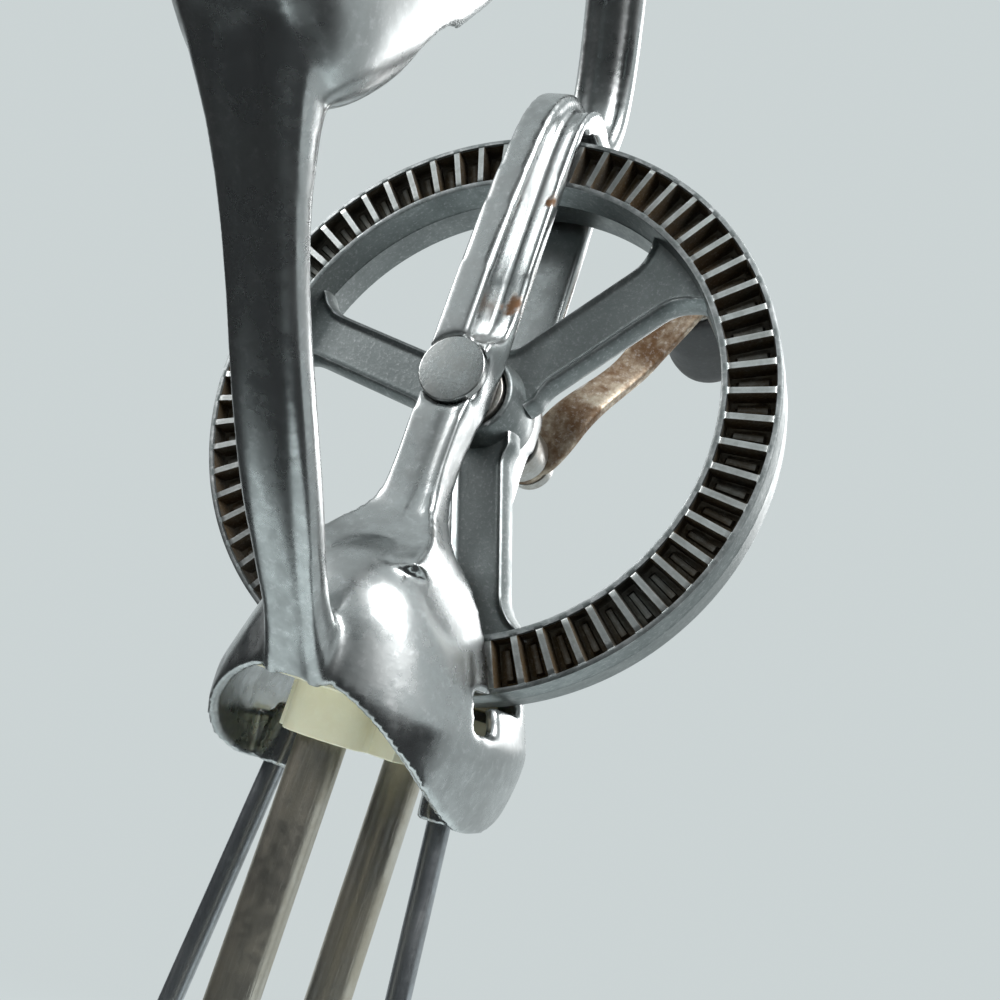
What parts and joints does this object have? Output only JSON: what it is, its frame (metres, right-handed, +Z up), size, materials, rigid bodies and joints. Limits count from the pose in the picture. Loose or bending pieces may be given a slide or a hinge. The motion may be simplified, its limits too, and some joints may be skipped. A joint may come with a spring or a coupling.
{
  "type": "rotary egg beater",
  "caption": "Hand-cranked rotary egg beater with a crown wheel, pinion-driven whisks, a wire guard and a hollow loop grip.",
  "frame": {"origin": "centre of the flat underside of the foot bar", "axes": "+Z up along the whisk shafts towards the grip, +Y along the wheel axle towards the crank, -Y towards the grip's lower end, +X to the right seen from the grip side"},
  "size_m": [0.0804, 0.1245, 0.2875],
  "materials": {
    "cast_chrome": "chromed casting, worn at its corners, with brown stains under the grip",
    "cast_zinc": "bare grey die casting, matt, with dark pockets between the teeth",
    "wire_chrome": "dulled chrome wire",
    "shaft_steel": "yellowed nickel plate, finely scratched along the shafts",
    "strip_steel": "rolled steel strip, worn bright at its edges",
    "plain_steel": "plain turned and stamped steel, dulled, with rust in its corners",
    "crank_steel": "worn plate with brown rust",
    "nylon": "cream nylon, slightly translucent",
    "black_plastic": "black moulded plastic"
  },
  "bodies": {
    "frame": {"frame_casting": "cast_chrome", "bearing_block": "nylon", "wire_guard": "wire_chrome", "foot_bar": "wire_chrome", "foot_clip": "plain_steel", "foot_rivet_front": "plain_steel", "foot_rivet_rear": "plain_steel", "front_pivot": "plain_steel", "rear_pivot": "plain_steel"},
    "wheel": {"crown_wheel": "cast_zinc", "axle_pin": "plain_steel", "front_axle_washer": "plain_steel", "rear_axle_washer": "plain_steel", "rear_spacer": "plain_steel", "crank_arm": "crank_steel", "crank_nut": "plain_steel", "knob_pin": "plain_steel", "knob_washer": "plain_steel"},
    "knob": {"crank_knob": "black_plastic"},
    "front_whisk": {"front_shaft": "shaft_steel", "front_pinion": "nylon", "front_pinion_clip": "plain_steel", "front_thrust_washer": "plain_steel", "front_collar": "plain_steel", "front_outer_loop": "strip_steel", "front_inner_loop": "strip_steel", "front_whisk_nut": "plain_steel"},
    "rear_whisk": {"rear_shaft": "shaft_steel", "rear_pinion": "nylon", "rear_pinion_clip": "plain_steel", "rear_thrust_washer": "plain_steel", "rear_collar": "plain_steel", "rear_outer_loop": "strip_steel", "rear_inner_loop": "strip_steel", "rear_whisk_nut": "plain_steel"}
  },
  "joints": [
    {"name": "wheel_spin", "type": "hinge", "parent": "frame", "child": "wheel", "pos_m": [0, 0, 0.2], "axis": [0, 1, 0], "continuous": true},
    {"name": "front_whisk_spin", "type": "hinge", "parent": "frame", "child": "front_whisk", "pos_m": [0, -0.0128, 0.1], "axis": [0, 0, 1], "continuous": true},
    {"name": "rear_whisk_spin", "type": "hinge", "parent": "frame", "child": "rear_whisk", "pos_m": [0, 0.0128, 0.1], "axis": [0, 0, 1], "continuous": true},
    {"name": "knob_spin", "type": "hinge", "parent": "wheel", "child": "knob", "pos_m": [0.01647, 0, 0.237], "axis": [0, 1, 0], "continuous": true}
  ],
  "couplings": [
    {"joint": "front_whisk_spin", "follows": "wheel_spin", "ratio": 4},
    {"joint": "rear_whisk_spin", "follows": "wheel_spin", "ratio": -4}
  ]
}
